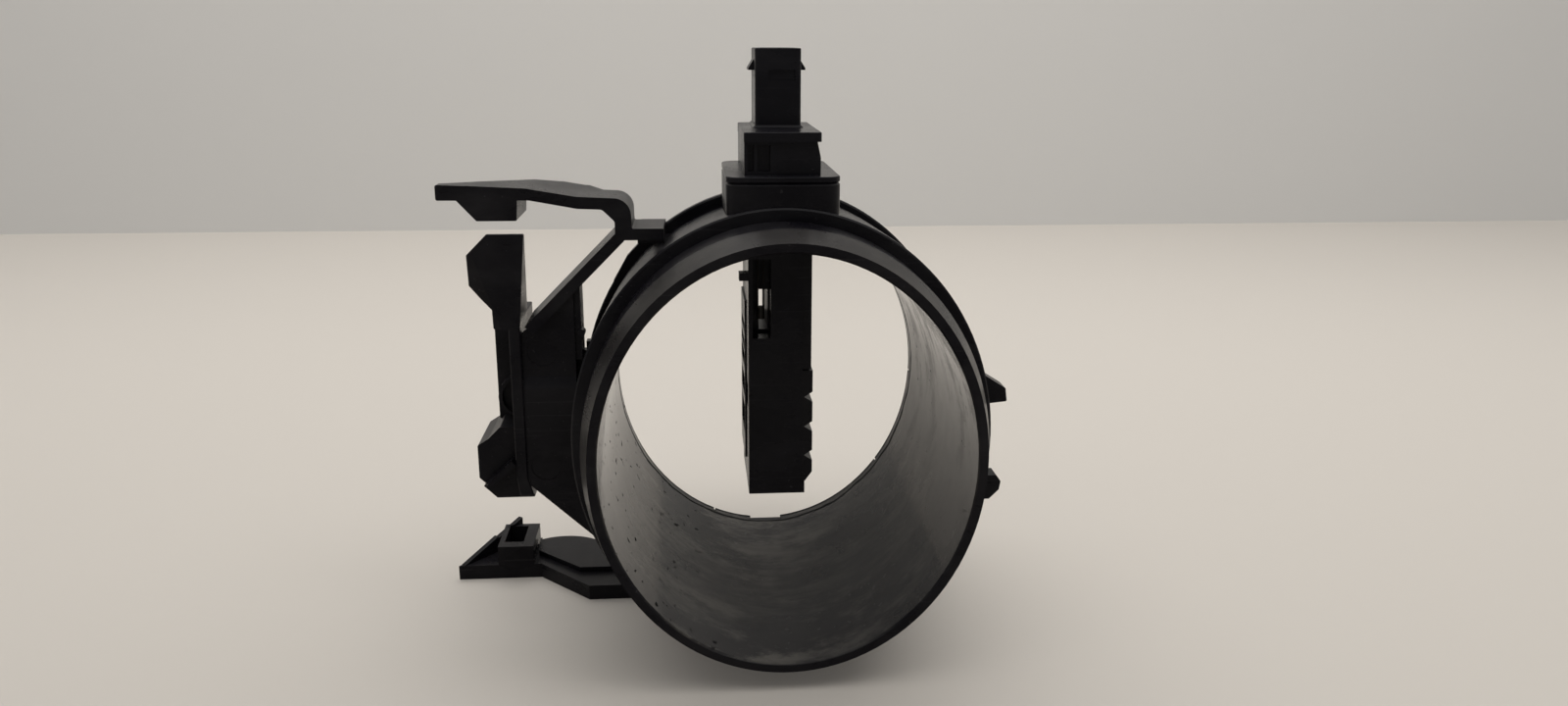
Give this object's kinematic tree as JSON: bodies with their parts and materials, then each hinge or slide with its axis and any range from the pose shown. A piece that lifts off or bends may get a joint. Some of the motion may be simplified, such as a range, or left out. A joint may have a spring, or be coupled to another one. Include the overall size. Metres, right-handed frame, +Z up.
{
  "type": "mass air flow sensor",
  "caption": "Plug-in mass air flow sensor standing in an oval measuring duct with a latch bracket, a guide wall and a foot tongue with a socket.",
  "frame": {"origin": "centre of the front end face of the duct, on the duct's axis", "axes": "+Y along the duct from the front end face to the rear end, +Z up out of the duct towards the plug shroud, +X towards the side lugs, away from the latch bracket"},
  "size_m": [0.125, 0.0775, 0.1282],
  "materials": {
    "duct_plastic": "satin moulded, glass filled",
    "sensor_plastic": "satin moulded",
    "cover_plastic": "satin moulded",
    "seal_rubber": "matte",
    "board": "solder resist",
    "chip_package": "moulded",
    "ceramic": "fired",
    "silicon": "polished",
    "carrier": "alumina",
    "bead": "glass-dipped",
    "wire": "tinned",
    "contact": "tinned brass"
  },
  "bodies": {
    "root": {"duct_housing": "duct_plastic", "sensor_housing": "sensor_plastic", "circuit_cover": "cover_plastic", "bypass_cover": "cover_plastic", "neck_seal": "seal_rubber", "circuit_board": "board", "asic_chip": "chip_package", "board_capacitors": "ceramic", "element_carrier": "carrier", "hot_film_chip": "silicon", "air_thermistor": "bead", "thermistor_leads": "wire", "terminal_1": "contact", "terminal_2": "contact", "terminal_3": "contact", "terminal_4": "contact"}
  },
  "joints": []
}
